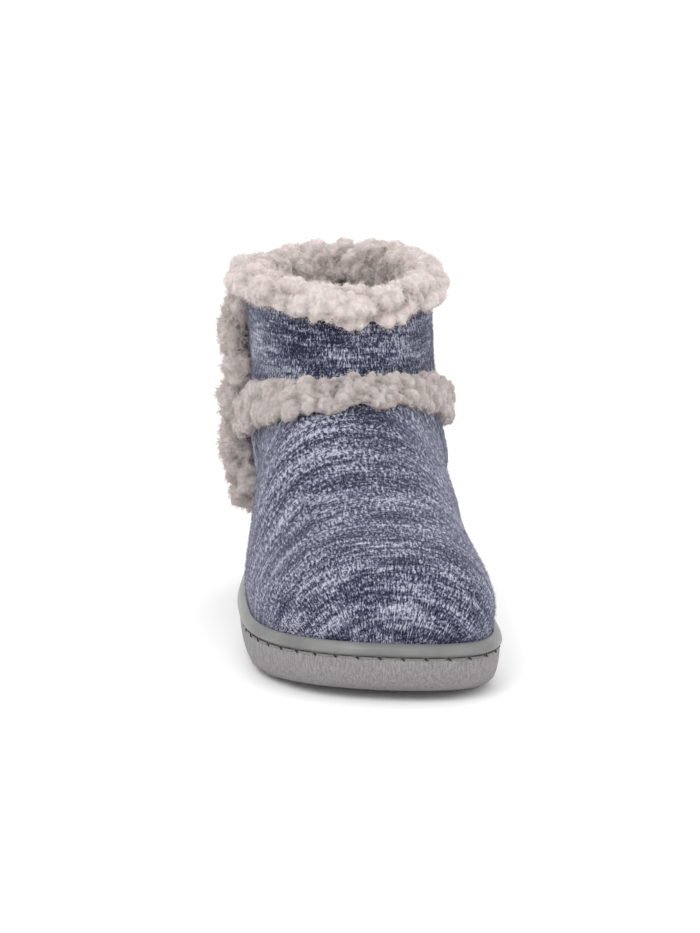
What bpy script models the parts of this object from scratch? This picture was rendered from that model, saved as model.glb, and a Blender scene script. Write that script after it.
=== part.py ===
"""Ankle-high bootie slipper for the right foot, standing empty on its sole.

Metres, +Z up. The toe points to -Y, the outer (lateral) side of the foot to -X.
Pieces: a cupped rubber outsole with a raised lip, a foam insole, a hollow brushed-knit
upper, and three fleece trims: the collar cuff, the band over the instep and the strip
down the outer side.

A station is a place along the foot, 0 at the back of the heel and 1 at the tip of the toe.
Everything is first worked out on a straight last. settle() then slants the toe towards
the big toe and tips the collar, and moves the whole shoe over its origin.
"""

import math

import bmesh
import bpy
import numpy as np

# Driving dimensions
LENGTH = 0.264  # outsole, heel to toe
BALL_WIDTH = 0.0985  # outsole wall at the ball of the foot
COLLAR_HEIGHT = 0.1280  # top edge of the shaft above the floor
INSTEP_HEIGHT = 0.0900  # top of the foot where it meets the shaft
SHAFT_WIDTH = 0.0775
SHAFT_LENGTH = 0.0950  # front to back, at the collar
SHAFT_SETBACK = 0.0055  # back of the shaft, in from the back of the outsole
HEEL_LIFT = 0.0220  # stitch line above the floor at the heel
TOE_SPRING = 0.0046
ARCH_RISE = 0.0030
HEEL_BEVEL = 0.0016
TOE_SLANT = 0.0230  # how much further the big toe reaches than the little toe
COLLAR_TIP = 0.0014  # rise of the collar towards the heel
COLLAR_LIFT = 0.0004  # rise of the collar towards the outer side
COLLAR_SADDLE = 0.0012  # rise of the collar at both sides over its front and back
COLLAR_SWING = 0.0022  # how far the collar leans over the outer side
UPPER_WALL = 0.0030
PUFF = 0.0014  # how far the knit swells out over the sole's lip
PUFF_HEIGHT = 0.0260  # how far above the lip the swelling ends
LIP_WALL = 0.0030  # wall of the sole's raised lip
INSOLE_THICKNESS = 0.0060
INSOLE_GAP = 0.0007  # round the insole, inside the upper
GAP = 0.0003
PAD_GAP = 0.0007  # between the fleece trims and the curved skin under them

# Rounding of the outline's two ends: length of the rounding and its superellipse power
TOE_ROUND = (0.048, 0.043)  # outer side, big-toe side
TOE_POWER = (2.4, 2.75)
HEEL_ROUND = 0.038
HEEL_POWER = 2.25

# Outsole outline: station, centre line and half-width as shares of BALL_WIDTH
OUTLINE = (
    (0.00, 0.000, 0.360),
    (0.15, 0.000, 0.372),
    (0.30, -0.006, 0.384),
    (0.45, -0.025, 0.431),
    (0.58, -0.035, 0.467),
    (0.70, -0.028, 0.482),
    (0.82, -0.015, 0.487),
    (0.92, -0.016, 0.466),
    (1.00, -0.020, 0.450),
)

# Heights inside the sole: station, shelf under the insole and stitch line, shares of HEEL_LIFT
SOLE_LINE = (
    (0.00, 0.760, 1.060),
    (0.15, 0.730, 1.030),
    (0.35, 0.630, 0.930),
    (0.50, 0.530, 0.830),
    (0.65, 0.460, 0.760),
    (0.80, 0.430, 0.730),
    (0.92, 0.450, 0.745),
    (1.00, 0.520, 0.815),
)

# Section of the cup's wall: name, inset from the outline, height above the tread or the stitch line
TREAD_SECTION = (
    ("tread edge", 0.0085, 0.0000),
    ("rolled edge", 0.0044, 0.0011),
    ("edge shoulder", 0.0018, 0.0038),
    ("wall foot", 0.0006, 0.0078),
)
LIP_SECTION = (
    ("wall top", 0.0000, -0.0013),
    ("groove lower edge", 0.0004, -0.0005),
    ("groove bed", 0.0016, -0.0002),
    ("groove upper edge", 0.0003, 0.0006),
    ("lip belly", -0.0008, 0.0016),
    ("lip shoulder", -0.0003, 0.0035),
    ("lip crown", 0.0012, 0.0050),
    ("lip top", 0.0024, 0.0054),
)

# Top line of the foot: station, height as a share of INSTEP_HEIGHT and how far it leans
# towards the big toe as a share of BALL_WIDTH
INSTEP = (
    (0.00, 1.120, 0.000),
    (0.34, 1.110, -0.010),
    (0.42, 1.055, -0.020),
    (0.50, 0.950, -0.018),
    (0.60, 0.825, 0.000),
    (0.70, 0.720, 0.020),
    (0.82, 0.635, 0.030),
    (1.00, 0.550, 0.035),
)
NOSE_ROUND = 0.034  # rounding of the toe seen from the side
NOSE_POWER = 2.3
COUNTER_ROUND = 0.060  # the same behind the heel
ARCH_POWER = 2.7  # fullness of the foot's cross-section

# Shaft: share of COLLAR_HEIGHT, back edge and front edge as shares of SHAFT_LENGTH, half-width
# and how far its middle lies towards the inner side as shares of SHAFT_WIDTH
SHAFT = (
    (0.00, 0.060, 0.860, 0.360, 0.010),
    (0.25, 0.020, 0.930, 0.435, 0.020),
    (0.40, 0.000, 1.030, 0.522, 0.032),
    (0.55, -0.012, 1.100, 0.515, -0.008),
    (0.70, -0.010, 1.085, 0.493, -0.014),
    (0.85, 0.000, 1.030, 0.494, -0.014),
    (1.00, 0.005, 1.000, 0.502, -0.014),
)
SHAFT_POWER = 2.2
ANKLE_BLEND = 0.012  # how softly shaft and foot run into each other

# Rings of the knit upper above the lip, as shares of the way from the lip to the collar
UPPER_RINGS = (
    0.030, 0.085, 0.140, 0.190, 0.235, 0.280, 0.325, 0.370, 0.415, 0.460,
    0.505, 0.550, 0.600, 0.655, 0.715, 0.780, 0.850, 0.925, 1.000,
)
LIP_RISE = LIP_SECTION[-1][2]
COLUMNS = 27  # columns of faces on each side of the shoe
TURN_WEIGHT = 0.040  # how much closer the columns stand where the outline turns

# Fleece trims
PILE = 0.0048  # depth of the fleece over the knit
STRIP_PILE = 0.0092  # the same on the side strip
STRIP_ROUND = 0.0140  # rounding of the strip's pile at its two ends
LOCK_PITCH = 0.0110  # from one curl to the next
LOCK_RELIEF = 0.0036  # how far the curls stand out
CUFF_DROP = 0.0095  # inner leg of the cuff below the collar's edge
CUFF_CROWN = 0.0060  # top of the cuff above the collar's edge
CUFF_STATIONS = 72
# Outer leg of the cuff: degrees from the toe, length as a share of CUFF_DROP
CUFF_FALL = (
    (0.0, 0.880),
    (20.0, 0.860),
    (50.0, 0.560),
    (90.0, 0.450),
    (135.0, 0.500),
    (180.0, 0.600),
    (225.0, 0.540),
    (270.0, 0.480),
    (315.0, 0.400),
    (340.0, 0.660),
    (360.0, 0.880),
)
BAND_STATIONS = 70
STRIP_STATIONS = 20
STRIP_ANGLE = 101.0  # degrees from the toe, round the shaft's axis
STRIP_HALF = 0.0105  # half the strip's width
STRIP_RAISE = 0.0030  # its lower end above the sole's lip

# Instep band: degrees from the toe, height as a share of COLLAR_HEIGHT and half its height
# as a share of BAND_HALF
BAND_HALF = 0.0062
BAND = (
    (0.0, 0.722, 0.80),
    (40.0, 0.690, 0.95),
    (90.0, 0.588, 1.30),
    (135.0, 0.518, 1.25),
    (180.0, 0.492, 1.20),
    (225.0, 0.505, 1.30),
    (270.0, 0.565, 1.45),
    (320.0, 0.675, 1.05),
    (360.0, 0.722, 0.80),
)

# Tread: stations of the grooves, their width, depth and bow
GROOVES = (0.075, 0.130, 0.185, 0.555, 0.610, 0.665, 0.720, 0.775, 0.830, 0.885)
GROOVE_WIDTH = 0.0034
GROOVE_DEPTH = 0.0024
GROOVE_BOW = 0.006

EPSILON = 1e-5


def along(table, column, at):
    """A table's column, read at a station with a smooth curve through its rows."""
    rows = np.array([row[:1] + row[column : column + 1] for row in table], float)
    place, value = rows[:, 0], rows[:, 1]
    slope = np.gradient(value, place)
    at = np.clip(np.asarray(at, float), place[0], place[-1])
    i = np.clip(np.searchsorted(place, at) - 1, 0, len(place) - 2)
    step = place[i + 1] - place[i]
    t = (at - place[i]) / step
    return (
        (2 * t**3 - 3 * t**2 + 1) * value[i]
        + (t**3 - 2 * t**2 + t) * step * slope[i]
        + (3 * t**2 - 2 * t**3) * value[i + 1]
        + (t**3 - t**2) * step * slope[i + 1]
    )


def ease(t):
    t = np.clip(t, 0.0, 1.0)
    return t * t * (3 - 2 * t)


def rounded(distance, reach, power):
    """0 at an end, 1 from reach inwards, along a superellipse."""
    t = np.clip(np.asarray(distance, float) / reach, 0.0, 1.0)
    return (1 - (1 - t) ** power) ** (1 / power)


def station_of(y):
    return 0.5 - np.asarray(y, float) / LENGTH


def y_of(station):
    return (0.5 - np.asarray(station, float)) * LENGTH


def centre(y):
    return along(OUTLINE, 1, station_of(y)) * BALL_WIDTH


def half_width(y, inset, side):
    """Half the outline's width on one side, for the outline drawn in by inset all round.

    side is negative on the outer side and positive on the big-toe side.
    """
    station = station_of(y)
    width = along(OUTLINE, 2, station) * BALL_WIDTH - inset
    medial = np.asarray(side) > 0
    reach = np.where(medial, TOE_ROUND[1], TOE_ROUND[0])
    power = np.where(medial, TOE_POWER[1], TOE_POWER[0])
    toe = rounded((1 - station) * LENGTH - inset, reach - inset, power)
    heel = rounded(station * LENGTH - inset, HEEL_ROUND - inset, HEEL_POWER)
    return width * toe * heel


def tread(y):
    """Height of the sole's underside: flat at heel and ball, with arch, toe spring and bevel."""
    s = station_of(y)
    toe = TOE_SPRING * np.clip((s - 0.80) / 0.20, 0, 1) ** 1.8
    heel = HEEL_BEVEL * np.clip((0.06 - s) / 0.06, 0, 1) ** 1.5
    arch = ARCH_RISE * ease((s - 0.26) / 0.12) * ease((0.54 - s) / 0.12)
    return toe + heel + arch


def shelf(y):
    return along(SOLE_LINE, 1, station_of(y)) * HEEL_LIFT


def stitch_line(y):
    return along(SOLE_LINE, 2, station_of(y)) * HEEL_LIFT


def spread(points, count):
    """count + 1 places along a run of points, closer together where it turns."""
    steps = np.diff(points, axis=0)
    length = np.hypot(steps[:, 0], steps[:, 1])
    heading = np.unwrap(np.arctan2(steps[:, 1], steps[:, 0]))
    turn = np.abs(np.gradient(heading))
    measure = np.concatenate([[0], np.cumsum(length + TURN_WEIGHT * turn)])
    wanted = np.linspace(0, measure[-1], count + 1)
    return np.stack([np.interp(wanted, measure, points[:, k]) for k in (0, 1)], axis=1)


def column_shares():
    """Where the columns stand along a ring, as shares of its length from heel to toe."""
    share = (1 - np.cos(np.linspace(0, math.pi, 400))) / 2
    y = y_of(share)
    middle = np.stack([half_width(y, 0.0, 1), y], axis=1)
    return station_of(spread(middle, COLUMNS)[:, 1])


SHARES = column_shares()


def loop(outer, inner):
    """A closed ring from its lateral half and its medial half, both from heel to toe."""
    return np.concatenate([outer, inner[-2:0:-1]])


def ring(inset):
    """The outline drawn in by inset, as (x, y): lateral side to the toe, medial side back."""
    reach = inset / LENGTH
    y = y_of(reach + SHARES * (1 - 2 * reach))
    sides = []
    for side in (-1, 1):
        half = half_width(y, inset, side)
        half[[0, -1]] = 0.0
        sides.append(np.stack([centre(y) + side * half, y], axis=1))
    return loop(*sides)


def raised(flat, height):
    """A flat ring lifted to height(y)."""
    return np.column_stack([flat, height(flat[:, 1])])


# The last: a signed distance, in metres, that is 0 on the outside of the upper

UPPER_INSET = LIP_WALL + GAP


def lip_top(y):
    return stitch_line(y) + LIP_RISE


def foot_top(y):
    """Top line of the foot, rounded down to the lip at the toe and behind the heel."""
    from_tip = (1 - station_of(y)) * LENGTH - UPPER_INSET
    from_back = station_of(y) * LENGTH - UPPER_INSET
    rise = along(INSTEP, 1, station_of(y)) * INSTEP_HEIGHT - lip_top(y)
    nose = rounded(from_tip, NOSE_ROUND, NOSE_POWER)
    counter = rounded(from_back, COUNTER_ROUND, 2)
    return lip_top(y) + rise * np.maximum(nose * counter, 0.02)


def shaft_back():
    return y_of(0) - SHAFT_SETBACK


def shaft_axis():
    return shaft_back() - SHAFT_LENGTH / 2


def foot_field(x, y, z):
    rise = np.maximum(z - lip_top(y), 0) / (foot_top(y) - lip_top(y))
    lean = along(INSTEP, 2, station_of(y)) * BALL_WIDTH * np.minimum(rise, 1)
    off = x - centre(y) - lean
    half = half_width(y, UPPER_INSET, off)
    above = np.clip((z - lip_top(y)) / PUFF_HEIGHT, 0, 1)
    swell = ease(above / 0.25) * ease((1 - above) / 0.75)
    half = half * (1 + PUFF * swell / (BALL_WIDTH / 2))
    across = np.abs(off) / np.maximum(half, EPSILON)
    norm = (across**ARCH_POWER + rise**ARCH_POWER) ** (1 / ARCH_POWER)
    past_end = np.abs(y) - (LENGTH / 2 - UPPER_INSET)
    return np.maximum((norm - 1) * BALL_WIDTH / 2, past_end)


def shaft_field(x, y, z):
    share = z / COLLAR_HEIGHT
    back = shaft_back() - along(SHAFT, 1, share) * SHAFT_LENGTH
    front = shaft_back() - along(SHAFT, 2, share) * SHAFT_LENGTH
    wide = along(SHAFT, 3, share) * SHAFT_WIDTH
    off = np.abs(x - along(SHAFT, 4, share) * SHAFT_WIDTH)
    away = np.abs(y - (back + front) / 2) / ((back - front) / 2)
    norm = ((off / wide) ** SHAFT_POWER + away**SHAFT_POWER) ** (1 / SHAFT_POWER)
    return (norm - 1) * SHAFT_WIDTH / 2


def last_field(x, y, z):
    """Foot and shaft, run into each other with a soft blend."""
    foot, shaft = foot_field(x, y, z), shaft_field(x, y, z)
    near = np.maximum(ANKLE_BLEND - np.abs(foot - shaft), 0) / ANKLE_BLEND
    return np.minimum(foot, shaft) - near**2 * ANKLE_BLEND / 4


def crossing(field, low, high):
    """Where field turns positive between low and high, element by element."""
    low, high = np.array(low, float), np.array(high, float)
    for _ in range(36):
        middle = (low + high) / 2
        inside = field(middle) < 0
        low, high = np.where(inside, middle, low), np.where(inside, high, middle)
    return (low + high) / 2


def level(y, share):
    """Height of an upper ring: from the lip, which follows the sole, to the level collar."""
    return lip_top(y) * (1 - share) + COLLAR_HEIGHT * share


def upper_ring(share):
    """A ring round the outside of the upper, as (x, y, z)."""

    def ahead(r, sign):
        y = shaft_axis() + sign * r
        return last_field(centre(y), y, level(y, share))

    back = shaft_axis() + crossing(lambda r: ahead(r, 1), 0.0, LENGTH)
    front = shaft_axis() - crossing(lambda r: ahead(r, -1), 0.0, LENGTH)
    y = back + (front - back) * (1 - np.cos(np.linspace(0, math.pi, 90))) / 2
    z = level(y, share)
    sides = []
    for sign in (-1, 1):
        half = crossing(
            lambda w, sign=sign: last_field(centre(y) + sign * w, y, z),
            np.zeros_like(y),
            np.full_like(y, BALL_WIDTH),
        )
        half[[0, -1]] = 0.0
        run = np.stack([centre(y) + sign * half, y], axis=1)
        sides.append(spread(run, COLUMNS))
    flat = loop(*sides)
    return np.column_stack([flat, level(flat[:, 1], share)])


def skin(angle, z):
    """A point on the outside of the upper and the way out of it, seen from the shaft's axis.

    angle is in degrees from the toe, towards the inner side of the foot.
    """
    angle, z = np.radians(np.asarray(angle, float)), np.asarray(z, float)
    way = np.stack([np.sin(angle), -np.cos(angle)])
    reach = crossing(
        lambda r: last_field(way[0] * r, shaft_axis() + way[1] * r, z),
        np.full(angle.shape, 0.005),
        np.full(angle.shape, LENGTH),
    )
    x, y = way[0] * reach, shaft_axis() + way[1] * reach
    step = 2e-4
    slope = np.stack(
        [
            last_field(x + step, y, z) - last_field(x - step, y, z),
            last_field(x, y + step, z) - last_field(x, y - step, z),
            last_field(x, y, z + step) - last_field(x, y, z - step),
        ],
        axis=-1,
    )
    out = slope / np.linalg.norm(slope, axis=-1, keepdims=True)
    return np.stack([x, y, z], axis=-1), out


# Building meshes


def lofted(name, rings, closed=False, caps=False):
    """A mesh through rings of equal length. closed joins the last ring to the first."""
    bm = bmesh.new()
    rows = [[bm.verts.new(point) for point in row] for row in rings]
    pairs = list(zip(rows, rows[1:]))
    if closed:
        pairs.append((rows[-1], rows[0]))
    for lower, upper in pairs:
        for i in range(len(lower)):
            j = (i + 1) % len(lower)
            bm.faces.new((lower[i], lower[j], upper[j], upper[i]))
    if caps:
        bm.faces.new(rows[0][::-1])
        bm.faces.new(rows[-1])
    return finished(name, bm)


def finished(name, bm):
    bmesh.ops.recalc_face_normals(bm, faces=bm.faces)
    mesh = bpy.data.meshes.new(name)
    bm.to_mesh(mesh)
    bm.free()
    piece = bpy.data.objects.new(name, mesh)
    bpy.context.scene.collection.objects.link(piece)
    return piece


def bridge_across(bm, row, upwards):
    """Closes a ring of the sole with one strip of faces for each pair of columns."""
    last = COLUMNS
    total = len(row)
    for i in range(last):
        near, far = (total - i) % total, total - i - 1
        corners = [row[i], row[i + 1]]
        if far != i + 1:
            corners.append(row[far])
        if near != i:
            corners.append(row[near])
        bm.faces.new(corners if upwards else corners[::-1])


def slab(name, rings):
    """A solid through rings of the sole's own columns, closed across below and above."""
    bm = bmesh.new()
    rows = [[bm.verts.new(point) for point in row] for row in rings]
    for lower, upper in zip(rows, rows[1:]):
        for i in range(len(lower)):
            j = (i + 1) % len(lower)
            bm.faces.new((lower[i], lower[j], upper[j], upper[i]))
    bridge_across(bm, rows[0], upwards=False)
    bridge_across(bm, rows[-1], upwards=True)
    return finished(name, bm)


def groove_cutter():
    """Bowed bars across the tread, one for each groove, in one cutter."""
    bm = bmesh.new()
    reach = BALL_WIDTH * 0.56
    for place in GROOVES:
        y = float(y_of(place))
        top = float(tread(y)) + GROOVE_DEPTH
        rows = []
        for k in range(9):
            x = reach * (k / 4 - 1)
            middle = y + GROOVE_BOW * (1 - (x / reach) ** 2)
            corners = ((-1, -1), (1, -1), (1, 1), (-1, 1))
            rows.append(
                [
                    bm.verts.new(
                        (x, middle + a * GROOVE_WIDTH / 2, top if b > 0 else -0.004)
                    )
                    for a, b in corners
                ]
            )
        for one, two in zip(rows, rows[1:]):
            for i in range(4):
                j = (i + 1) % 4
                bm.faces.new((one[i], one[j], two[j], two[i]))
        bm.faces.new(rows[0][::-1])
        bm.faces.new(rows[-1])
    cutter = finished("groove_cutter", bm)
    cutter.hide_render = True
    cutter.display_type = "WIRE"
    return cutter


def make_outsole():
    rings = [
        raised(ring(inset), lambda y, rise=rise: tread(y) + rise)
        for _, inset, rise in TREAD_SECTION
    ]
    rings += [
        raised(ring(inset), lambda y, rise=rise: stitch_line(y) + rise)
        for _, inset, rise in LIP_SECTION
    ]
    rings.append(raised(ring(LIP_WALL), lambda y: lip_top(y) - GAP))
    rings.append(raised(ring(LIP_WALL), shelf))
    return slab("outsole", rings)


def make_insole():
    edge = UPPER_INSET + UPPER_WALL + INSOLE_GAP
    seat = GAP
    section = (
        (edge + 0.0004, seat),
        (edge, seat + INSOLE_THICKNESS * 0.2),
        (edge, seat + INSOLE_THICKNESS * 0.75),
        (edge + 0.0016, seat + INSOLE_THICKNESS),
    )
    return slab(
        "insole",
        [
            raised(ring(inset), lambda y, rise=rise: shelf(y) + rise)
            for inset, rise in section
        ],
    )


def make_upper():
    """The outside of the knit, given its wall inwards."""
    foot = ring(UPPER_INSET)
    rings = [
        raised(foot, lambda y: shelf(y) + GAP),
        raised(foot, lambda y: stitch_line(y)),
        raised(foot, lip_top),
    ]
    rings += [upper_ring(share) for share in UPPER_RINGS]
    piece = lofted("upper", rings)
    wall = piece.modifiers.new("wall", "SOLIDIFY")
    wall.thickness = UPPER_WALL
    wall.offset = -1
    wall.use_quality_normals = True
    wall.use_rim = True
    return piece


def lock_height(run, rise, total, height):
    """How far a curl of fleece stands out at a place on a trim, as a share of LOCK_RELIEF.

    run is the way along the trim, which is total long, and rise the way across it.
    """
    count = max(3, round(total / LOCK_PITCH))
    pitch = total / count
    rows = max(1, round(height / LOCK_PITCH))
    radius = pitch * 0.62
    tall = 0.0
    for row in range(-1, rows + 2):
        for column in range(math.floor(run / pitch) - 2, math.floor(run / pitch) + 3):
            seed = 12.9898 * (column % count) + 78.233 * row
            shift = math.sin(seed) * 0.22
            lift = math.cos(1.7 * seed) * 0.20
            at = (column + 0.5 * (row % 2) + shift) * pitch
            up = (row + lift) * height / rows
            away = ((run - at) ** 2 + (rise - up) ** 2) / radius**2
            size = 0.8 + 0.2 * math.sin(3.1 * seed)
            tall = max(tall, size * math.sqrt(max(0.0, 1 - away)))
    return tall


def trim(name, angles, middle, half, section, closed):
    """A fleece trim on the upper's skin.

    angles are its stations round the shaft, middle and half its height and half-height there.
    Each row of section has a place across the trim from -1 to 1, a way out of the skin, and how
    much of a curl's relief it takes.
    """
    points, _ = skin(angles, middle)
    steps = np.linalg.norm(np.diff(points, axis=0), axis=1)
    run = np.concatenate([[0], np.cumsum(steps)])
    total = run[-1]
    if closed:
        total += np.linalg.norm(points[0] - points[-1])
    rings = [[] for _ in angles]
    for across, out, relief in section:
        height = middle + across * half
        place, way = skin(angles, height)
        for i in range(len(angles)):
            curl = lock_height(run[i], (across + 1) * half[i], total, 2 * half[i])
            stand = out + relief * LOCK_RELIEF * (curl - 0.5)
            rings[i].append(place[i] + way[i] * stand)
    return lofted(name, rings, closed=closed, caps=not closed)


def pad_section(pile):
    """Section of a flat trim: its underside on the knit, then over the pile."""
    under = [(across, PAD_GAP, 0.0) for across in (0.86, 0.43, 0.0, -0.43, -0.86)]
    over = [
        (-1.0, pile * 0.45, 0.3),
        (-0.80, pile * 0.90, 1.0),
        (-0.30, pile * 1.10, 1.0),
        (0.30, pile * 1.10, 1.0),
        (0.80, pile * 0.90, 1.0),
        (1.0, pile * 0.45, 0.3),
    ]
    return under + over


def strip_edge(side):
    """Degrees from the toe of the strip's edge: side is 1 towards the toe, -1 to the heel."""
    return 360 - STRIP_ANGLE + side * math.degrees(STRIP_HALF / (SHAFT_WIDTH / 2))


def make_band():
    """The band starts at the strip's front edge and runs round to its rear edge."""
    clear = math.degrees(2 * GAP / (SHAFT_WIDTH / 2)) + 0.8
    start = strip_edge(1) + clear - 360
    end = strip_edge(-1) - clear
    angles = np.linspace(start, end, BAND_STATIONS)
    around = angles % 360
    middle = along(BAND, 1, around) * COLLAR_HEIGHT
    half = along(BAND, 2, around) * BAND_HALF
    return trim("instep_band", angles, middle, half, pad_section(PILE), closed=False)


def cuff_fall(angles):
    """How far the cuff's outer leg hangs below the collar's edge."""
    return along(CUFF_FALL, 1, angles % 360) * CUFF_DROP


def make_strip():
    """The strip stands on the sole's lip and runs up to the cuff, at one place round the shaft."""
    foot_y = skin(np.array([360 - STRIP_ANGLE]), np.array([HEEL_LIFT * 1.5]))[0][0, 1]
    low = float(lip_top(foot_y)) + STRIP_RAISE
    edges = np.array([strip_edge(-1), 360 - STRIP_ANGLE, strip_edge(1)])
    fall = float(np.max(cuff_fall(edges)))
    high = COLLAR_HEIGHT - fall - LOCK_RELIEF * 0.65 - GAP * 2
    heights = np.linspace(low, high, STRIP_STATIONS)
    centre_angle = 360 - STRIP_ANGLE
    spread_angle = math.degrees(STRIP_HALF / (SHAFT_WIDTH / 2))
    from_end = np.minimum(heights - low, high - heights)
    full = rounded(from_end + STRIP_ROUND * 0.15, STRIP_ROUND, 2)
    rings = [[] for _ in heights]
    for across, out, relief in pad_section(STRIP_PILE):
        angles = np.full(heights.shape, centre_angle + across * spread_angle)
        place, way = skin(angles, heights)
        for i in range(len(heights)):
            run = heights[i] - low
            curl = lock_height(
                run, (across + 1) * STRIP_HALF, high - low, 2 * STRIP_HALF
            )
            end = 0.0 if i in (0, len(heights) - 1) else 1.0
            stand = PAD_GAP + (out - PAD_GAP) * full[i]
            stand += relief * LOCK_RELIEF * (curl - 0.5) * end
            rings[i].append(place[i] + way[i] * stand)
    return lofted("side_strip", rings, caps=True)


def make_cuff():
    """The cuff straddles the collar's edge: an outer leg, a crown and an inner leg."""
    slot_in = -(UPPER_WALL + PAD_GAP)
    inner = slot_in - PILE
    # way out of the skin, height above the collar's edge, share of a curl's relief
    section = (
        (PAD_GAP, -CUFF_DROP * 0.95, 0.0),
        (PILE * 0.55, -CUFF_DROP - LOCK_RELIEF * 0.4, 0.5),
        (PILE, -CUFF_DROP * 0.80, 1.0),
        (PILE * 1.15, -CUFF_DROP * 0.42, 1.0),
        (PILE * 1.10, -CUFF_DROP * 0.05, 1.0),
        (PILE * 0.75, CUFF_CROWN * 0.65, 1.0),
        (-UPPER_WALL * 0.3, CUFF_CROWN, 1.0),
        (inner * 0.68, CUFF_CROWN * 0.75, 1.0),
        (inner, CUFF_CROWN * 0.1, 1.0),
        (inner * 1.06, -CUFF_DROP * 0.40, 1.0),
        (inner * 0.95, -CUFF_DROP * 0.85, 0.8),
        (slot_in, -CUFF_DROP * 0.90, 0.0),
        (slot_in, 4 * GAP, 0.0),
        (PAD_GAP, GAP, 0.0),
    )
    outer_leg = 5  # points of the section that hang outside, as far as cuff_fall says
    angles = np.arange(CUFF_STATIONS) * 360 / CUFF_STATIONS
    shorter = CUFF_DROP - cuff_fall(angles)
    edge, way = skin(angles, np.full(angles.shape, COLLAR_HEIGHT))
    way[:, 2] = 0
    way /= np.linalg.norm(way, axis=1, keepdims=True)
    steps = np.linalg.norm(np.roll(edge, -1, axis=0) - edge, axis=1)
    run = np.concatenate([[0], np.cumsum(steps)[:-1]])
    rings = [[] for _ in angles]
    girth = 0.0
    for k, (out, rise, relief) in enumerate(section):
        if k:
            girth += math.hypot(out - section[k - 1][0], rise - section[k - 1][1])
        lean = np.array([out - section[6][0], rise + CUFF_DROP * 0.4])
        lean /= np.linalg.norm(lean)
        hang = min(rise, 0.0) / -CUFF_DROP if k < outer_leg else 0.0
        up = rise + shorter * hang
        wall, _ = skin(angles, COLLAR_HEIGHT + np.minimum(up, 0.0))
        for i in range(len(angles)):
            curl = lock_height(run[i], girth, steps.sum(), LOCK_PITCH * 6)
            stand = relief * LOCK_RELIEF * (curl - 0.5)
            place = wall[i] + way[i] * (out + lean[0] * stand)
            place[2] = COLLAR_HEIGHT + up[i] + lean[1] * stand
            rings[i].append(place)
    return lofted("collar_cuff", rings, closed=True)


# Settling the straight last into the real shoe


def slanted(x, y):
    """How far back the toe's slant moves a point of the straight last."""
    fade = 1 - ease((station_of(y) * -1 + 0.92) / 0.42)
    return TOE_SLANT * fade * (0.5 - x / BALL_WIDTH)


def tipped(x, y, z):
    """How far the collar's tip moves a point to the side and up."""
    start = COLLAR_HEIGHT * 0.72
    share = np.clip((z - start) / (COLLAR_HEIGHT - start), 0, 1.2)
    back = (y - shaft_axis()) / (SHAFT_LENGTH / 2)
    out = -x / (SHAFT_WIDTH / 2)
    rise = COLLAR_TIP * back + COLLAR_LIFT * out + COLLAR_SADDLE * out**2
    return -COLLAR_SWING * share, rise * share


def settle(pieces):
    """Slants the toe, tips the collar and puts the middle of the shoe's box over the origin."""
    for piece in pieces:
        count = len(piece.data.vertices)
        co = np.zeros(count * 3, np.float32)
        piece.data.vertices.foreach_get("co", co)
        co = co.reshape(-1, 3).astype(float)
        x, y, z = co.T
        aside, up = tipped(x, y, z)
        back = slanted(x, y)
        co += np.column_stack([aside, back, up])
        piece.data.vertices.foreach_set("co", co.astype(np.float32).ravel())
        piece.data.update()
    shown = [piece for piece in pieces if not piece.hide_render]
    corners = [v.co for piece in shown for v in piece.data.vertices]
    low = [min(c[k] for c in corners) for k in range(3)]
    high = [max(c[k] for c in corners) for k in range(3)]
    for piece in pieces:
        for vertex in piece.data.vertices:
            vertex.co.x -= (low[0] + high[0]) / 2
            vertex.co.y -= (low[1] + high[1]) / 2
            vertex.co.z -= low[2]


def surface(name, colour, roughness):
    material = bpy.data.materials.new(name)
    material.use_nodes = True
    shader = material.node_tree.nodes["Principled BSDF"]
    shader.inputs["Base Color"].default_value = (*colour, 1)
    shader.inputs["Roughness"].default_value = roughness
    shader.inputs["Metallic"].default_value = 0
    return material


def main():
    for old in list(bpy.data.objects):
        bpy.data.objects.remove(old)

    outsole = make_outsole()
    insole = make_insole()
    upper = make_upper()
    cuff = make_cuff()
    band = make_band()
    strip = make_strip()
    cutter = groove_cutter()
    settle([outsole, insole, upper, cuff, band, strip, cutter])

    grooves = outsole.modifiers.new("tread grooves", "BOOLEAN")
    grooves.operation = "DIFFERENCE"
    grooves.solver = "EXACT"
    grooves.object = cutter

    rubber = surface("grey_rubber", (0.36, 0.345, 0.335), 0.55)
    knit = surface("marled_blue_knit", (0.13, 0.165, 0.32), 0.9)
    fleece = surface("curled_fleece", (0.60, 0.56, 0.54), 0.95)
    lining = surface("insole_fleece", (0.52, 0.49, 0.47), 0.95)
    looks = (
        (outsole, rubber),
        (insole, lining),
        (upper, knit),
        (cuff, fleece),
        (band, fleece),
        (strip, fleece),
    )
    for piece, look in looks:
        piece.data.materials.append(look)
        piece.data.shade_smooth()
        piece.data.set_sharp_from_angle(angle=math.radians(50))


main()
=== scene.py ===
import math
import random

import bmesh
import bpy
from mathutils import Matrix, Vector, noise
from mathutils.kdtree import KDTree


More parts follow.
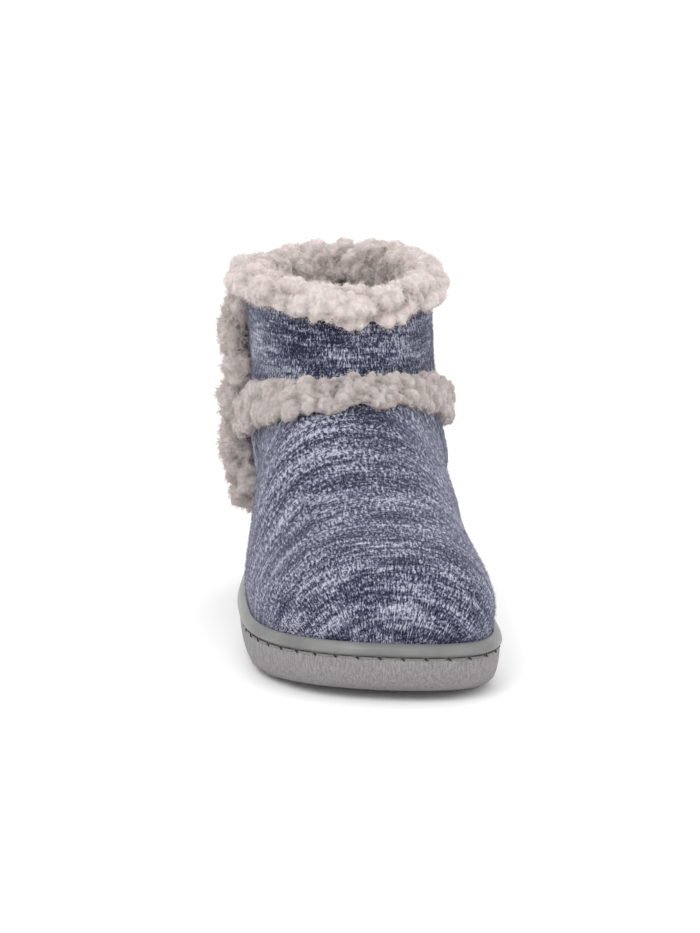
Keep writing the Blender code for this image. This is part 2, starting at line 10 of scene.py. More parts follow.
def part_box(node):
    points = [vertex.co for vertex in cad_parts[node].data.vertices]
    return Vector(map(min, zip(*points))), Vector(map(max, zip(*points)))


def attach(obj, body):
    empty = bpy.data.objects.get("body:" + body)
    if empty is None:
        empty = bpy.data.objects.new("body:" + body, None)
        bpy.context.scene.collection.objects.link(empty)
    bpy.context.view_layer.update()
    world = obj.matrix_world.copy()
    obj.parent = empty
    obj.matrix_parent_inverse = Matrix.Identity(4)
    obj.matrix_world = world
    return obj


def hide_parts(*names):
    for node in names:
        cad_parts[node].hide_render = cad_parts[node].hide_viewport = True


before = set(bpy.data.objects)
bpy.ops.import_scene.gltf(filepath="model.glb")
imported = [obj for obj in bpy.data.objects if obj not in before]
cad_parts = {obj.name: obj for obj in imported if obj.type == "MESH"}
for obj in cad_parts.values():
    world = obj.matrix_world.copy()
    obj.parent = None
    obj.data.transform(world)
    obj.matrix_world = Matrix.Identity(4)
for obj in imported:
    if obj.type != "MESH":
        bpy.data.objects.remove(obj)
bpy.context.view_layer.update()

# Knit upper.
# A brushed, marled jersey drawn over the last and closed under the cup. One course of the knit
# is lighter or darker than the next, as the yarn comes, and short hairs stand out of it.

SHAFT_AXIS = sum((corner[1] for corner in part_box("collar_cuff")), 0.0) / 2
BAND_MIDDLE = 0.0765  # height of the instep band's middle at the sides
BAND_CLIMB = 0.0147  # how much higher it stands in front
TOE_TURN = (-0.070, -0.012, 0.066)  # the courses fan round the toe from here: y, z, radius
CUFF_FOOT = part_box("collar_cuff")[0][2]
BAND_SHADE, CUFF_SHADE = 0.016, 0.009  # how far from each trim the painted shade on the knit reaches
SIDE_SEAM = sum((corner[1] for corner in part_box("side_strip")), 0.0) / 2  # y of both seams
COURSE_BOW = 8.5  # how far the courses run towards the toe at the sides: metres per x squared
SHAFT_RADIUS = 0.042
SHAFT_COURSE = 0.4  # the shaft's courses are counted from here, clear of the foot's
SHAFT_DIP = 0.0015  # how much higher they run in front than at the sides
FOOT_RADIUS = 0.046
FOOT_DEPTH = 0.012  # the places along the foot's courses turn round a line this far down
PUFFS = ((38, 0.0007), (90, 0.0003))  # soft bulges of the knit: how many a metre, how high
TOE_BEND = -0.085  # in front of this the toe's inner faces look back
WALL_MIDDLE = 0.018  # the foot's inner faces look at a line at this height
# Soft creases: both ends of each, its half-width and its depth, which is negative for a ridge
CREASES = (
    ((0.033, 0.052, 0.062), (0.016, 0.016, 0.074), 0.0050, 0.0011),
    ((0.040, 0.070, 0.046), (0.034, 0.030, 0.054), 0.0060, 0.0009),
    ((-0.034, 0.046, 0.056), (-0.018, 0.014, 0.070), 0.0050, 0.0010),
    ((-0.042, -0.030, 0.036), (-0.012, -0.046, 0.052), 0.0080, 0.0007),
    ((0.044, -0.044, 0.034), (0.020, -0.036, 0.055), 0.0080, 0.0007),
    ((0.026, 0.030, 0.104), (-0.004, 0.026, 0.098), 0.0060, 0.0006),
    ((0.036, 0.036, 0.064), (0.038, -0.012, 0.054), 0.0150, -0.0032),
    ((0.044, SIDE_SEAM, 0.026), (0.032, SIDE_SEAM, 0.072), 0.0016, 0.0007),
)


def clipped(value):
    """The value, held between 0 and 1."""
    return min(max(value, 0.0), 1.0)


def merged_copy(name, node):
    """A joined copy of a CAD node's loose triangles, with its quads back."""
    bm = bmesh.new()
    bm.from_mesh(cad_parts[node].data)
    bmesh.ops.remove_doubles(bm, verts=bm.verts, dist=1e-5)
    bmesh.ops.join_triangles(
        bm, faces=bm.faces, angle_face_threshold=math.radians(35),
        angle_shape_threshold=math.radians(60), cmp_seam=False, cmp_sharp=False,
        cmp_uvs=False, cmp_vcols=False, cmp_materials=False,
    )
    return shown(name, bm)


def placed(name, mesh):
    """The mesh as an object of its own, smooth all over."""
    mesh.shade_smooth()
    piece = bpy.data.objects.new(name, mesh)
    bpy.context.scene.collection.objects.link(piece)
    return piece


def shown(name, bm):
    """The bmesh as an object of its own."""
    mesh = bpy.data.meshes.new(name)
    bm.to_mesh(mesh)
    bm.free()
    return placed(name, mesh)


def meshed(source):
    """A new mesh of a curve, or of a piece with its modifiers."""
    shape = source.evaluated_get(bpy.context.evaluated_depsgraph_get())
    return bpy.data.meshes.new_from_object(shape)


def skin_points(piece):
    """Each vertex's place and outward direction, read before any of them moves."""
    return [(v.co.copy(), v.normal.copy()) for v in piece.data.vertices]


def subdivided(piece, levels):
    """The piece rounded off by a subdivision that becomes part of its mesh."""
    smooth = piece.modifiers.new("smooth", "SUBSURF")
    smooth.levels = smooth.render_levels = levels
    mesh = meshed(piece)
    piece.modifiers.clear()
    old, piece.data = piece.data, mesh
    bpy.data.meshes.remove(old)
    mesh.name = piece.name
    return piece


def dressed(piece, slot, *finishes, replaces=None):
    """Gives a piece its materials and the body that it rides on; the slot argument is not used."""
    piece.data.materials.clear()
    for finish in finishes:
        piece.data.materials.append(finish.material)
    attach(piece, "root")
    if replaces:
        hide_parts(replaces)


class Socket:
    """A value in a material; arithmetic on it adds Math nodes."""

    def __init__(self, finish, link):
        self.finish, self.link = finish, link

    def math(self, operation, *values, clamp=False):
        return self.finish.node(
            "ShaderNodeMath", {"operation": operation, "use_clamp": clamp},
            dict(enumerate(values)),
        )

    def __add__(self, other):
        return self.math("ADD", self, other)

    def __sub__(self, other):
        return self.math("SUBTRACT", self, other)

    def __rsub__(self, other):
        return self.math("SUBTRACT", other, self)

    def __mul__(self, other):
        return self.math("MULTIPLY", self, other)

    __radd__ = __add__

    def clamped(self):
        return self.math("ADD", self, 0.0, clamp=True)

    def between(self, low, high):
        """0 below low, 1 above high, smooth between."""
        return self.finish.node(
            "ShaderNodeMapRange", {"interpolation_type": "SMOOTHSTEP"},
            {"Value": self, "From Min": low, "From Max": high},
        )


class Finish:
    """A material while its nodes are laid out."""

    def __init__(self, name, **constants):
        self.material = bpy.data.materials.new(name)
        self.material.use_nodes = True
        self.tree = self.material.node_tree
        self.shader = self.tree.nodes["Principled BSDF"]
        for socket, value in constants.items():
            self.shader.inputs[socket.replace("_", " ")].default_value = value

    def node(self, kind, settings=None, inputs=None, output=0):
        node = self.tree.nodes.new(kind)
        for key, value in (settings or {}).items():
            if key == "stops":
                ramp = node.color_ramp.elements
                while len(ramp) < len(value):
                    ramp.new(0.5)
                for element, (place, colour) in zip(ramp, value):
                    element.position = place
                    element.color = (*colour, 1)
            else:
                setattr(node, key, value)
        for key, value in (inputs or {}).items():
            if isinstance(value, Socket):
                self.tree.links.new(value.link, node.inputs[key])
            else:
                node.inputs[key].default_value = value
        return Socket(self, node.outputs[output])

    def place(self, stretch=(1, 1, 1)):
        """The piece's own coordinates; below 1 stretches what is laid on them."""
        here = self.node("ShaderNodeTexCoord", output="Object")
        return self.stretched(here, stretch)

    def stretched(self, where, stretch):
        return self.node(
            "ShaderNodeVectorMath", {"operation": "MULTIPLY"}, {0: where, 1: stretch}
        )

    def wandering(self, where, scale, reach):
        """Coordinates pushed about by up to half of reach, over patches 1/scale across."""
        push = self.node(
            "ShaderNodeTexNoise", None, {"Vector": where, "Scale": scale, "Detail": 2.0},
            output="Color",
        )
        push = self.node(
            "ShaderNodeVectorMath", {"operation": "SUBTRACT"}, {0: push, 1: (0.5, 0.5, 0.5)}
        )
        return self.node(
            "ShaderNodeVectorMath", {"operation": "MULTIPLY_ADD"},
            {0: push, 1: (reach, reach, reach), 2: where},
        )

    def attribute(self, name, output="Fac"):
        return self.node("ShaderNodeAttribute", {"attribute_name": name}, output=output)

    def noise(self, where, scale, detail=2.0, roughness=0.5):
        return self.node(
            "ShaderNodeTexNoise", None,
            {"Vector": where, "Scale": scale, "Detail": detail, "Roughness": roughness},
        )

    def ramp(self, value, stops):
        return self.node("ShaderNodeValToRGB", {"stops": stops}, {"Fac": value})

    def mix(self, share, one, two):
        """A colour between two others, which are colours or sockets."""
        inputs = {0: share}
        for key, colour in ((6, one), (7, two)):
            inputs[key] = colour if isinstance(colour, Socket) else (*colour, 1)
        return self.node("ShaderNodeMix", {"data_type": "RGBA"}, inputs, output=2)

    def bump(self, height, distance, strength=1.0):
        return self.node(
            "ShaderNodeBump", None,
            {"Height": height, "Distance": distance, "Strength": strength},
        )

    def feed(self, **sockets):
        for socket, value in sockets.items():
            self.tree.links.new(value.link, self.shader.inputs[socket.replace("_", " ")])
        return self


def band_height(x, y):
    """Height of the instep band's middle on the side of the shaft where (x, y) is."""
    around = math.atan2(x, SHAFT_AXIS - y)
    return BAND_MIDDLE + BAND_CLIMB * math.cos(around)


def course_of(point):
    """The knit's course and the place along it, in metres, at a point of the upper."""
    x, y, z = point
    around = math.atan2(x, SHAFT_AXIS - y)
    if z > band_height(x, y) or y > SIDE_SEAM:
        return SHAFT_COURSE + z - SHAFT_DIP * math.cos(around), SHAFT_RADIUS * around
    turn_y, turn_z, radius = TOE_TURN
    across = FOOT_RADIUS * math.atan2(x, max(z, 0.0) + FOOT_DEPTH)
    if y < turn_y:
        course = -turn_y + radius * math.atan2(turn_y - y, z - turn_z)
    else:
        course = -y
    return course - COURSE_BOW * x * x, across


def creased(point):
    """How far the soft creases draw the knit in at a point."""
    drawn = 0.0
    for start, end, half, depth in CREASES:
        start, end = Vector(start), Vector(end)
        run = end - start
        share = clipped((point - start).dot(run) / run.length_squared)
        away = (point - start - run * share).length / half
        drawn += depth * math.exp(-away * away)
    return drawn


knit_upper = subdivided(merged_copy("knit_upper", "upper"), 2)
weave = knit_upper.data.attributes.new("weave", "FLOAT_VECTOR", "POINT")
for vertex, stitch in zip(knit_upper.data.vertices, weave.data):
    stitch.vector = (*course_of(vertex.co), 0)
# Painted shade: the knit is darker near the instep band and the cuff's lower edge, as if the trims
# shaded it.
tucked = knit_upper.data.attributes.new("tucked", "FLOAT", "POINT")
for vertex, trim_shade in zip(knit_upper.data.vertices, tucked.data):
    from_band = (vertex.co.z - band_height(vertex.co.x, vertex.co.y)) / BAND_SHADE
    from_cuff = (vertex.co.z - CUFF_FOOT) / CUFF_SHADE
    trim_shade.value = max(math.exp(-from_band * from_band), math.exp(-from_cuff * from_cuff))
for vertex, (point, out) in zip(knit_upper.data.vertices, skin_points(knit_upper)):
    puff = sum(noise.noise(point * scale) * high for scale, high in PUFFS)
    vertex.co = point + out * (puff - creased(point))
knit_upper.data.shade_smooth()

NAVY = (0.014, 0.016, 0.034)
DENIM = (0.066, 0.071, 0.116)
HAZE = (0.225, 0.235, 0.305)
FROST = (0.450, 0.460, 0.540)

knit = Finish(
    "marled_knit", Roughness=0.95, Sheen_Weight=0.35, Sheen_Roughness=0.4,
    Sheen_Tint=(0.80, 0.82, 1.0, 1), Specular_IOR_Level=0.1,
)
weave_at = knit.attribute("weave", "Vector")
wavy = knit.wandering(weave_at, 240, 0.0018)
streak = knit.noise(knit.stretched(wavy, (1, 0.13, 1)), 620, 2.0, 0.6)
broad = knit.noise(knit.stretched(wavy, (1, 0.22, 1)), 150, 2.0, 0.5)
patch = knit.noise(weave_at, 55, 2.0, 0.5)
fleck = knit.noise(knit.stretched(weave_at, (0.6, 1, 1)), 1700, 2.0, 0.7)
hairs = knit.noise(knit.stretched(weave_at, (0.22, 1, 1)), 1500, 2.0, 0.7)
tone = 0.43 + (streak - 0.5) * 1.4 + (broad - 0.5) * 1.1 + (patch - 0.5) * 0.7
# The painted shade near the trims darkens the yarn.
tone = tone - knit.attribute("tucked") * 0.06
tone = tone + (fleck - 0.5) * 2.1 + (hairs - 0.5) * 2.4
yarn = knit.ramp(
    tone.clamped(), [(0.12, NAVY), (0.42, DENIM), (0.68, HAZE), (0.95, FROST)]
)
relief = fleck * 0.5 + hairs * 0.6 + streak * 0.7
knit.feed(Base_Color=yarn, Normal=knit.bump(relief, 0.0009, 0.8))

backing = Finish("lining_backing", Roughness=0.95, Specular_IOR_Level=0.1)
backing.feed(
    Base_Color=backing.ramp(
        backing.noise(backing.place(), 330, 3.0, 0.6),
        [(0.3, (0.22, 0.19, 0.18)), (0.7, (0.42, 0.38, 0.36))],
    )
)
dressed(knit_upper, "blue_knit", knit, backing, replaces="upper")
for face in knit_upper.data.polygons:
    place, out = face.center, face.normal
    if place.z > band_height(place.x, place.y):
        outward = Vector((place.x, place.y - SHAFT_AXIS, 0))
    else:
        behind = 0.3 * max(place.y - SHAFT_AXIS, 0)
        outward = Vector((place.x, behind + min(place.y - TOE_BEND, 0), place.z - WALL_MIDDLE))
    if outward.dot(out) < 0:
        face.material_index = 1  # the backing

# Fleece cuff, instep band and side strip.
# Curled pile fleece, folded over the collar's edge and sewn on over the knit. The pile stands
# in soft clumps with smaller curls on them, and loose fibres stand out all over.

noise.seed_set(5)  # or noise_vector follows the clock and each run differs

FIBRE_HALF_WIDTH = 0.00009
FOLD_EDGE = 16  # how sharply two clumps part
CLUMP_ROUND = 0.8  # below 1 a clump is rounder on top
CURL = 0.36  # a curl's size and height, of the clump's that it sits on
CURL_PLACE = Vector((0.3, 0.1, 0.2))  # sets the curls' pattern off from the clumps'
CLUMP_SHARE = 0.62  # what the clump has in the height that colours the wool; the curl has the rest
LEAN = 0.0007  # how far a clump leans to a side
CUFF_LOW, CUFF_HIGH = (Vector(corner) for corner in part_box("collar_cuff"))
CUFF_MIDDLE = (CUFF_LOW + CUFF_HIGH) / 2
CROWN_IN = 0.0065  # how far inside the cuff's box its crown runs
CROWN_HALF = (CUFF_HIGH - CUFF_LOW) / 2 - Vector((CROWN_IN, CROWN_IN, 0))
CROWN_RISE = 0.007  # over this height above its middle the cuff is lifted more and more
# The cuff's inner leg, in crown radii: where it starts, and how far in from there it is whole
FOLDED_LEG = (1.06, 0.22)
SHADED_LEG = (0.95, 0.25)
INSIDE_SHADE = 0.45  # how much painted shade darkens that leg, taken off the pile's height that colours it
BAND_DROP = 0.0050  # how much lower the band's lower edge hangs at the sides
BAND_SIDES = (0.020, 0.016)  # where they start, and how far out from there they are whole
BAND_FRONT = 0.030  # how far in front of the shaft's axis it hangs fully
BAND_EDGE = 0.010  # the height over which it hangs more and more
# Where the cuff is folded in thicker or stands higher: degrees from the toe towards the inner
# side of the foot, spread in degrees, way in, way up
SWELLS = (
    (-65, 48, 0.0085, 0.0012),
    (-130, 30, 0.0030, 0.0000),
    (35, 30, 0.0020, 0.0005),
    (152, 20, 0.0010, 0.0032),
    (108, 20, 0.0020, 0.0016),
    (-170, 24, 0.0000, 0.0010),
)


def clumped(point, size):
    """Height of rounded clumps about size across: 0 in the folds between them, 1 on top."""
    wander = noise.noise_vector(point * (0.5 / size)) * 0.45
    near, _ = noise.voronoi(point / size + wander)
    merged = -math.log(sum(math.exp(-FOLD_EDGE * d * d) for d in near)) / FOLD_EDGE
    return clipped(1 - 2.0 * merged) ** CLUMP_ROUND


def inner_leg(away, start, span):
    """0 outside the cuff's inner leg, 1 well within it, at a way from the cuff's middle."""
    crown = math.hypot(away.x / CROWN_HALF.x, away.y / CROWN_HALF.y)
    return clipped((start - crown) / span)


def swell(cuff):
    """Folds the cuff's inner side in and lifts its crown where SWELLS says."""
    for vertex in cuff.data.vertices:
        away = vertex.co - CUFF_MIDDLE
        inner = inner_leg(away, *FOLDED_LEG)
        high = clipped((vertex.co.z - CUFF_MIDDLE.z) / CROWN_RISE)
        to_middle = Vector((-away.x, -away.y, 0)).normalized()
        around = math.degrees(math.atan2(away.x, -away.y))
        for angle, spread, way_in, way_up in SWELLS:
            off = ((around - angle + 180) % 360 - 180) / spread
            share = math.exp(-off * off)
            vertex.co += to_middle * (way_in * inner * share)
            vertex.co.z += way_up * high * share


def hung(band):
    """Lets the band's lower edge hang lower at both sides in front of the ankle."""
    start, span = BAND_SIDES
    for vertex in band.data.vertices:
        x, y, z = vertex.co
        side = clipped((abs(x) - start) / span)
        front = clipped((SHAFT_AXIS - y) / BAND_FRONT)
        low = clipped((band_height(x, y) - z) / BAND_EDGE + 0.5)
        drop = BAND_DROP * side * front * low
        vertex.co += Vector((math.copysign(0.3, x) * drop, 0, -drop))


def shaded_inside(cuff):
    """Paints shade on the cuff's leg turned down into the shoe by lowering the pile's height that
    colours it.
    """
    for vertex, depth in zip(cuff.data.vertices, cuff.data.attributes["pile"].data):
        depth.value -= INSIDE_SHADE * inner_leg(vertex.co - CUFF_MIDDLE, *SHADED_LEG)


def grow_pile(piece, proud, clump, height, upright=1.0):
    """Moves a skin out by its pile and keeps the pile's height, from which the material paints
    shade into the folds.

    Its clumps are longer up and down than across where upright is below 1.
    """
    pile = piece.data.attributes.new("pile", "FLOAT", "POINT")
    moved = []
    for point, out in skin_points(piece):
        spot = Vector((point.x, point.y, point.z * upright))
        big = clumped(spot, clump)
        small = clumped(spot + CURL_PLACE, clump * CURL)
        tall = proud + (big - 0.45) * height + (small - 0.5) * height * CURL
        lean = noise.noise_vector(point * 210) * LEAN
        depth = CLUMP_SHARE * big + (1 - CLUMP_SHARE) * small
        moved.append((point + out * tall + lean, depth))
    for vertex, value, (point, depth) in zip(piece.data.vertices, pile.data, moved):
        vertex.co = point
        value.value = depth
    piece.data.shade_smooth()


def cords(name, bevel, runs):
    """A piece of straight-stepped cords: knots of place, thickness and turn for each run."""
    curve = bpy.data.curves.new(name, "CURVE")
    curve.dimensions = "3D"
    for key, value in bevel.items():
        setattr(curve, key, value)
    for run in runs:
        spline = curve.splines.new("POLY")
        spline.points.add(len(run) - 1)
        for knot, (place, thickness, turn) in zip(spline.points, run):
            knot.co = (*place, 1)
            knot.radius = thickness
            knot.tilt = turn
    source = bpy.data.objects.new(name, curve)
    bpy.context.scene.collection.objects.link(source)
    mesh = meshed(source)
    bpy.data.objects.remove(source)
    bpy.data.curves.remove(curve)
    return placed(name, mesh)


def loose_fibres(name, skin, count, length, seed, steps=3):
    """Thin curved fibres standing out of the faces of a skin that carry its first material."""
    rng = random.Random(seed)
    runs = []
    faces = [face for face in skin.data.polygons if face.material_index == 0]
    for face in rng.choices(faces, weights=[face.area for face in faces], k=count):
        out = face.normal
        side = Vector([rng.gauss(0, 1) for _ in range(3)])
        side = (side - out * side.dot(out)).normalized()
        twist = out.cross(side)
        reach = length * rng.uniform(0.4, 1.2)
        bend = rng.uniform(0.5, 1.7)
        turn = rng.uniform(0, math.pi)
        run = []
        for k in range(steps + 1):
            t = k / steps
            sway = side * math.sin(bend * t * 1.6) * 0.75 + twist * t * t * 0.35
            rise = out * (t - 0.35 * t * t - 0.08)
            run.append((face.center + (rise + sway) * reach, 1.0 - 0.8 * t, turn))
        runs.append(run)
    return cords(name, {"extrude": FIBRE_HALF_WIDTH}, runs)


# In the pile's ramp CREVICE is painted shade in the folds and TIP painted highlight on the clumps'
# tops.
CREVICE = Vector((0.280, 0.236, 0.220))
WOOL = Vector((0.560, 0.494, 0.472))
TIP = Vector((0.680, 0.615, 0.595))


def wool(name, painted_light_level):
    """Curled fleece and its loose fibres, darker or lighter all over by the painted light and
    shade of the piece.
    """
    skin = Finish(
        name, Roughness=0.95, Sheen_Weight=0.30, Sheen_Roughness=0.5,
        Specular_IOR_Level=0.1, Subsurface_Weight=0.15, Subsurface_Scale=0.004,
    )
    deep = skin.attribute("pile")
    wisp = skin.noise(skin.wandering(skin.place(), 300, 0.004), 900, 3.0, 0.65)
    cloud = skin.noise(skin.place(), 90, 2.0, 0.5)
    # Painted shade in the folds and painted highlight on the clumps' tops, from the pile's height;
    # the noise adds random tone.
    height = deep * 0.70 + (wisp - 0.5) * 0.45 + (cloud - 0.5) * 0.35 + 0.20
    stops = [(0.12, CREVICE * painted_light_level), (0.46, WOOL * painted_light_level), (0.86, TIP * painted_light_level)]
    skin.feed(
        Base_Color=skin.ramp(height.clamped(), stops), Normal=skin.bump(wisp, 0.0012)
    )
    strand = Finish(
        name + "_fibre", Roughness=0.9, Sheen_Weight=0.2, Specular_IOR_Level=0.1
    )
    strand_tone = strand.noise(strand.place(), 200, 2.0, 0.5)
    strand.feed(
        Base_Color=strand.ramp(strand_tone, [(0.3, WOOL * painted_light_level), (0.7, TIP * painted_light_level)])
    )
    return skin, strand


# Node, piece, then its pile: how far out, a clump's size, its height, its length up and down;
# then the loose fibres' count and length, the painted light and shade on the wool and the seed of
# the fibres
TRIMS = (
    ("collar_cuff", "fleece_cuff", 0.0001, 0.0092, 0.0038, 0.8, 26000, 0.0024, 1.13, 11),
    ("instep_band", "fleece_band", 0.0002, 0.0050, 0.0034, 0.5, 16000, 0.0022, 0.84, 23),
    ("side_strip", "fleece_strip", 0.0009, 0.0078, 0.0038, 1.0, 9000, 0.0040, 0.88, 37),
)

for node, name, proud, clump, height, upright, count, length, painted_light_level, seed in TRIMS:
    skin = subdivided(merged_copy(name, node), 3)
    if node == "collar_cuff":
        swell(skin)
    elif node == "instep_band":
        hung(skin)
    grow_pile(skin, proud, clump, height, upright)
    if node == "collar_cuff":
        # Painted shade on the cuff's leg inside the shoe.
        shaded_inside(skin)
    fleece, strand = wool(name + "_wool", painted_light_level)
    fibres = loose_fibres(name + "_fibres", skin, count, length, seed)
    dressed(skin, "curled_fleece", fleece, replaces=node)
    dressed(fibres, "curled_fleece", strand)

# Brushed hairs of the knit.
# The jersey is brushed after knitting, so fine pale hairs stand out of it all over.

HAIR_LENGTH = 0.0013

hair = Finish("brushed_hair", Roughness=0.9, Sheen_Weight=0.2, Specular_IOR_Level=0.1)
hair_tone = hair.noise(hair.place(), 420, 2.0, 0.6)
hair.feed(Base_Color=hair.ramp(hair_tone, [(0.35, DENIM), (0.5, HAZE), (0.68, FROST)]))
brushed = loose_fibres("knit_hairs", knit_upper, 38000, HAIR_LENGTH, 5, steps=2)
dressed(brushed, "blue_knit", hair)

# Fleece lining.
# The same fleece with a shorter pile, bonded to the inside of the knit from the insole up to
# the cuff's inner leg.

LINING_PILE = 0.0014
LINING_TOP = 0.1215
LINING_FOOT = 0.0260
LINING_EDGE = 0.0004  # how far off the knit's inside its hems lie

bm = bmesh.new()
bm.from_mesh(knit_upper.data)
bmesh.ops.delete(
    bm, context="FACES",
    geom=[
        face for face in bm.faces
        if face.material_index == 0
        or not LINING_FOOT < face.calc_center_median().z < LINING_TOP
    ],
)
for face in bm.faces:
    face.material_index = 0
hem = {vertex.index for vertex in bm.verts if vertex.is_boundary}
lining = shown("fleece_lining", bm)
walls = [point - out * LINING_EDGE for point, out in skin_points(lining)]
grow_pile(lining, LINING_PILE, 0.0056, 0.0022)
for k in hem:
    lining.data.vertices[k].co = walls[k]
# 0.60 is painted shade on the lining inside the shoe.
lining_wool, _ = wool("lining_wool", 0.60)
dressed(lining, "insole_fleece", lining_wool)

# Insole.
# A foam footbed faced with short fleece, glued into the cup.

short_pile = Finish(
    "footbed_fleece", Roughness=0.95, Sheen_Weight=0.3, Specular_IOR_Level=0.1
)
nap = short_pile.noise(short_pile.wandering(short_pile.place(), 200, 0.006), 420, 3.0, 0.6)
short_pile.feed(
    Base_Color=short_pile.ramp(
        nap, [(0.3, CREVICE), (0.5, WOOL * 0.8), (0.7, TIP * 0.85)]
    ),
    Normal=short_pile.bump(nap, 0.0020),
)
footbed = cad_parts["insole"]
footbed.data.materials.clear()
footbed.data.materials.append(short_pile.material)

# Cup sole.
# One moulding of grey rubber: a smooth lip, a stitch groove under it and a fine upright rib on
# its wall.

WALL_GREY = ((0.165, 0.154, 0.157), (0.305, 0.288, 0.294))
LIP_GREY = ((0.146, 0.147, 0.145), (0.192, 0.193, 0.190))
FOLD = math.radians(-110)  # no other edge of the sole is folded in as far as the groove's bed
SHARP = math.radians(38)  # the sole's edges that stay crisp when it is rounded off
TREAD_TOP = 0.009  # up to here they stay quite sharp
LIP_EDGE = 0.0006  # the lip's finish comes in over this height above the groove
BED_STEP = 0.0005  # between the points that stand for the groove's bed


def groove_bed(name):
    """Points along the deepest line of the stitch groove of a piece, in order round it."""
    bm = bmesh.new()
    bm.from_mesh(bpy.data.objects[name].data)
    found = {
        tuple(vertex.co)
        for edge in bm.edges
        if edge.is_manifold and edge.calc_face_angle_signed() < FOLD
        for vertex in edge.verts
    }
    bm.free()
    return [Vector(p) for p in sorted(found, key=lambda p: math.atan2(p[0], p[1]))]


def even_run(points, step):
    """Evenly spaced points on a smooth closed line through the given ones."""
    fine = []
    for k, b in enumerate(points):
        a, c, d = points[k - 1], points[(k + 1) % len(points)], points[(k + 2) % len(points)]
        for t in (0, 0.2, 0.4, 0.6, 0.8):
            square = 2 * a - 5 * b + 4 * c - d
            cube = 3 * b - a - 3 * c + d
            fine.append((2 * b + (c - a) * t + square * t * t + cube * t**3) / 2)
    lengths = [(fine[(k + 1) % len(fine)] - fine[k]).length for k in range(len(fine))]
    count = round(sum(lengths) / step)
    pitch = sum(lengths) / count
    places, walked, k = [], 0.0, 0
    for i in range(count):
        while walked + lengths[k] < pitch * i:
            walked += lengths[k]
            k += 1
        share = (pitch * i - walked) / lengths[k]
        places.append(fine[k].lerp(fine[(k + 1) % len(fine)], share))
    return places


cup = merged_copy("cup_sole", "outsole")
bed = even_run(groove_bed("cup_sole"), BED_STEP)
bm = bmesh.new()
bm.from_mesh(cup.data)
crease = bm.edges.layers.float.new("crease_edge")
for edge in bm.edges:
    if edge.is_manifold and abs(edge.calc_face_angle_signed()) > SHARP:
        low = max(vertex.co.z for vertex in edge.verts) < TREAD_TOP
        edge[crease] = 1.0 if low else 0.55
bm.to_mesh(cup.data)
bm.free()
subdivided(cup, 2)
line = KDTree(len(bed))
for k, point in enumerate(bed):
    line.insert((point.x, point.y, 0), k)
line.balance()
lip = cup.data.attributes.new("lip", "FLOAT", "POINT")
for vertex, share in zip(cup.data.vertices, lip.data):
    _, k, _ = line.find((vertex.co.x, vertex.co.y, 0))
    share.value = clipped((vertex.co.z - bed[k].z) / LIP_EDGE)
cup.data.shade_smooth()

rubber = Finish("moulded_grey_rubber", Specular_IOR_Level=0.4)
above = rubber.attribute("lip")
here = rubber.place()
upright = rubber.noise(rubber.place((1, 1, 0.12)), 1900, 2.0, 0.6)
grain = rubber.noise(here, 1500, 2.0, 0.7)
mottle = rubber.noise(here, 70, 3.0, 0.6)
rib = (upright * 0.55 + grain * 0.45).between(0.34, 0.66)
wall_tint = rubber.mix(rib, *WALL_GREY)
lip_tint = rubber.mix(mottle.between(0.3, 0.7), *LIP_GREY)
rubber.feed(
    Base_Color=rubber.mix(above, wall_tint, lip_tint),
    Roughness=0.62 + grain * 0.2 - above * 0.36,
    Normal=rubber.bump((upright * 0.7 + grain * 0.3) * (1 - above * 0.85), 0.0007, 0.7),
)
dressed(cup, "grey_rubber", rubber, replaces="outsole")

# Sole stitching.
# A grey lockstitch lying in the groove under the lip. It goes down through a slanted hole at
# the end of each stitch, and each hole's dark inside is painted shade: a near-black cord.

STITCH_PITCH = 0.0085
THREAD_SHARE = 0.80  # of the pitch where the thread shows
THREAD_RADIUS = 0.00042
THREAD_OUT = 0.00100  # from the bed of the groove to the thread
THREAD_RISE = (0.1, 0.85, 1.0, 1.0, 1.0, 0.85, 0.1)  # of that, along one stitch
HOLE_RADIUS = 0.00024
HOLE_SLANT = 0.0005


def round_cords(name, radius, runs, finish):
    """Closed-ended round cords, each through its own run of places."""
    bevel = {"bevel_depth": radius, "bevel_resolution": 1, "use_fill_caps": True}
    knots = [[(place, 1.0, 0.0) for place in run] for run in runs]
    dressed(cords(name, bevel, knots), "grey_rubber", finish)


def beside(k, out):
    """The point k of the groove's bed, moved out of the sole, and the way along the groove."""
    run = (bed[(k + 1) % len(bed)] - bed[k - 1]).normalized()
    way = Vector((-run.y, run.x, 0)).normalized()
    if way.dot(Vector((bed[k].x, bed[k].y, 0))) < 0:
        way = -way
    return bed[k] + way * out, run


count = round(len(bed) * BED_STEP / STITCH_PITCH)
threads, holes = [], []
for stitch in range(count):
    first = round(stitch * len(bed) / count)
    reach = round(THREAD_SHARE * len(bed) / count)
    run = []
    for step, out in enumerate(THREAD_RISE):
        k = first + round(reach * step / (len(THREAD_RISE) - 1))
        place, _ = beside(k % len(bed), out * THREAD_OUT)
        run.append(place)
    threads.append(run)
    gap = (first + reach + round((len(bed) / count - reach) / 2)) % len(bed)
    place, along = beside(gap, THREAD_OUT * 1.25)
    slant = Vector((0, 0, HOLE_SLANT))
    holes.append([place - along * HOLE_SLANT - slant, place, place + along * HOLE_SLANT + slant])

thread = Finish("grey_thread", Roughness=0.7)
twist = thread.noise(thread.place(), 2200, 2.0, 0.5)
thread.feed(
    Base_Color=thread.ramp(twist, [(0.3, (0.13, 0.125, 0.12)), (0.7, (0.26, 0.25, 0.245))])
)
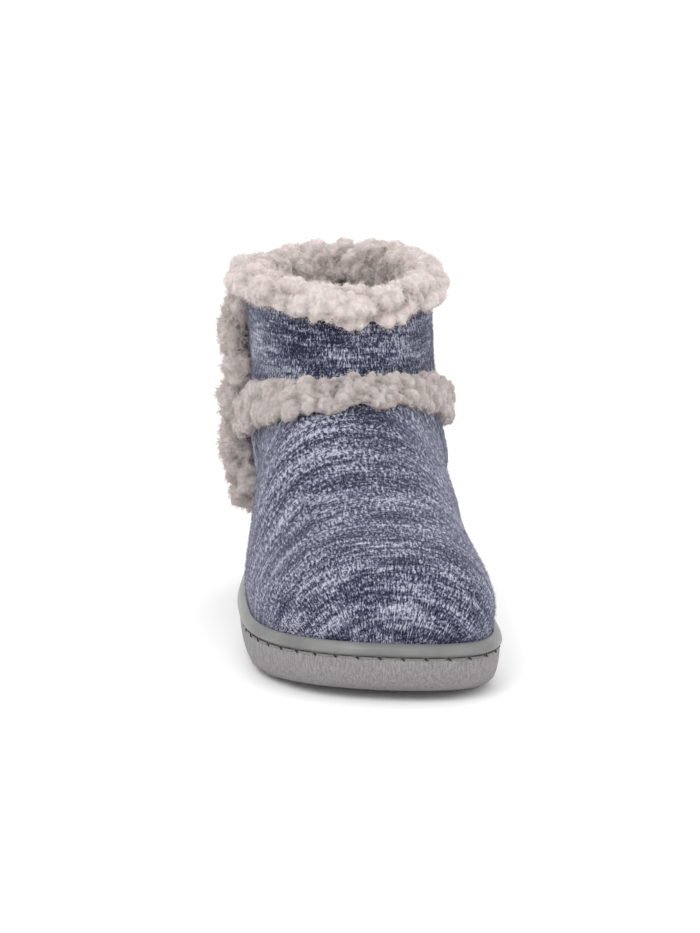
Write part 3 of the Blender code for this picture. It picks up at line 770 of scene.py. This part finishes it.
# Painted shade: the holes' dark insides, as near-black cords in the groove.
hole_shadow = Finish("pricked_rubber", Roughness=0.9, Specular_IOR_Level=0.1)
hole_shadow.feed(
    Base_Color=hole_shadow.ramp(
        hole_shadow.noise(hole_shadow.place(), 900), [(0.0, (0.012,) * 3), (1.0, (0.03,) * 3)]
    )
)
round_cords("sole_thread", THREAD_RADIUS, threads, thread)
round_cords("stitch_holes", HOLE_RADIUS, holes, hole_shadow)

# Studio.
# A pale floor, a soft key from the upper left, a fill from the right, a rim from behind and a
# camera at the photograph's angle.

AZIMUTH, ELEVATION, DISTANCE = -4.5, 11.5, 1.5
AIM = Vector((0, 0, 0.07))
PICTURE_HEIGHT = 933  # in pixels, as are the next two
FOCAL_LENGTH = 3750
SHIFT = (-4.0, -13.0)
SENSOR = 36  # millimetres

bm = bmesh.new()
bmesh.ops.create_grid(bm, x_segments=8, y_segments=8, size=12.0)
floor = shown("floor", bm)
paper = Finish("white_paper", Roughness=0.8)
fibre = paper.noise(paper.place(), 90, 2.0, 0.5)
paper.feed(
    Base_Color=paper.ramp(fibre, [(0.0, (0.95, 0.95, 0.95)), (1.0, (0.97, 0.97, 0.97))])
)
floor.data.materials.append(paper.material)

world = bpy.data.worlds.new("studio")
bpy.context.scene.world = world
world.use_nodes = True
world.node_tree.nodes["Background"].inputs["Color"].default_value = (1, 1, 1, 1)
world.node_tree.nodes["Background"].inputs["Strength"].default_value = 1.05


def softbox(name, place, size, power):
    lamp = bpy.data.lights.new(name, "AREA")
    lamp.shape = "SQUARE"
    lamp.size = size
    lamp.energy = power
    holder = bpy.data.objects.new(name, lamp)
    holder.location = place
    holder.rotation_euler = (Vector(place) - AIM).to_track_quat("Z", "Y").to_euler()
    bpy.context.scene.collection.objects.link(holder)


softbox("key", (-0.7, -1.0, 1.3), 0.9, 9)
softbox("fill", (1.1, -0.8, 0.8), 0.9, 3)
softbox("rim", (0.1, 1.1, 1.2), 0.8, 5)

lens = bpy.data.cameras.new("camera")
lens.lens = FOCAL_LENGTH / PICTURE_HEIGHT * SENSOR
lens.shift_x, lens.shift_y = (pixels / PICTURE_HEIGHT for pixels in SHIFT)
camera = bpy.data.objects.new("camera", lens)
turn, tilt = math.radians(AZIMUTH), math.radians(ELEVATION)
back = Vector(
    (math.sin(turn) * math.cos(tilt), -math.cos(turn) * math.cos(tilt), math.sin(tilt))
)
camera.location = AIM + back * DISTANCE
camera.rotation_euler = back.to_track_quat("Z", "Y").to_euler()
bpy.context.scene.collection.objects.link(camera)
bpy.context.scene.camera = camera
bpy.context.scene.view_settings.view_transform = "Standard"
